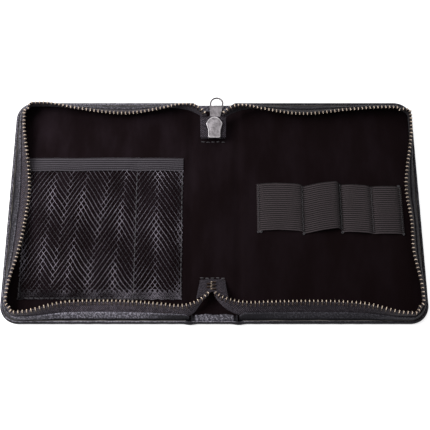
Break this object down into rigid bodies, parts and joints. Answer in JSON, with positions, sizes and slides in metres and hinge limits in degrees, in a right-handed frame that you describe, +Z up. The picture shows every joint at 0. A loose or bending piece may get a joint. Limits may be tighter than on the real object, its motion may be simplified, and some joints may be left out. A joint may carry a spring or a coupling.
{
  "type": "fountain pen case",
  "caption": "Zip-round leather case for fountain pens, lying open: net pockets in one half, elastic pen loops in the other, joined by a spine.",
  "frame": {"origin": "on the table, under the middle of the spine", "axes": "+X to the right half, +Y along the spine away from the near zip tab, +Z up out of the open case"},
  "size_m": [0.268, 0.1536, 0.0158],
  "materials": {
    "cover_leather": "black pebbled leather, low sheen",
    "stiff_board": "grey board, hidden",
    "velvet_lining": "short velvet pile",
    "zip_tape": "herringbone woven tape",
    "zip_brass": "antique brass",
    "pocket_net": "diamond net of shiny thread",
    "pocket_hem": "flat woven band",
    "sewing_thread": "twisted polyester thread",
    "ribbed_elastic": "ribbed woven elastic",
    "slider_nickel": "antique nickel, satin"
  },
  "bodies": {
    "spine": {"spine_cover": "cover_leather", "spine_board": "stiff_board", "spine_lining": "velvet_lining", "spine_edge_far": "cover_leather", "spine_edge_near": "cover_leather", "zip_tab_far": "zip_tape", "zip_tab_near": "zip_tape", "tab_stitches": "sewing_thread", "zip_chain_start": "zip_brass", "zip_chain_end": "zip_brass"},
    "left_half": {"left_cover": "cover_leather", "left_board": "stiff_board", "left_lining": "velvet_lining", "left_binding": "cover_leather", "left_gusset": "cover_leather", "left_tape": "zip_tape", "left_teeth": "zip_brass", "left_tape_end_far": "zip_tape", "left_tape_end_near": "zip_tape", "left_end_teeth_far": "zip_brass", "left_end_teeth_near": "zip_brass", "pocket_net": "pocket_net", "pocket_hem": "pocket_hem", "pocket_stitches": "sewing_thread"},
    "right_half": {"right_cover": "cover_leather", "right_board": "stiff_board", "right_lining": "velvet_lining", "right_binding": "cover_leather", "right_gusset": "cover_leather", "right_tape": "zip_tape", "right_teeth": "zip_brass", "right_tape_end_far": "zip_tape", "right_tape_end_near": "zip_tape", "right_end_teeth_far": "zip_brass", "right_end_teeth_near": "zip_brass", "elastic_band": "ribbed_elastic", "elastic_stitches": "sewing_thread"},
    "slider": {"slider_body": "slider_nickel", "slider_bail": "slider_nickel"},
    "pull": {"pull_tab": "slider_nickel"}
  },
  "joints": [
    {"name": "left_fold", "type": "hinge", "parent": "spine", "child": "left_half", "pos_m": [-0.015, 0, 0.0012], "axis": [0, 1, 0], "range_deg": [0, 90], "deforming": ["left_tape_end_far", "left_tape_end_near", "left_end_teeth_far", "left_end_teeth_near"]},
    {"name": "right_fold", "type": "hinge", "parent": "spine", "child": "right_half", "pos_m": [0.015, 0, 0.0012], "axis": [0, -1, 0], "range_deg": [0, 90], "deforming": ["right_tape_end_far", "right_tape_end_near", "right_end_teeth_far", "right_end_teeth_near"]},
    {"name": "slider_travel", "type": "slide", "parent": "spine", "child": "slider", "axis": [0, 0.9903, 0.1392], "range_m": [0, 0.006]},
    {"name": "pull_swing", "type": "hinge", "parent": "slider", "child": "pull", "pos_m": [0, 0.05874, 0.0061], "axis": [1, 0, 0], "range_deg": [0, 15]}
  ]
}
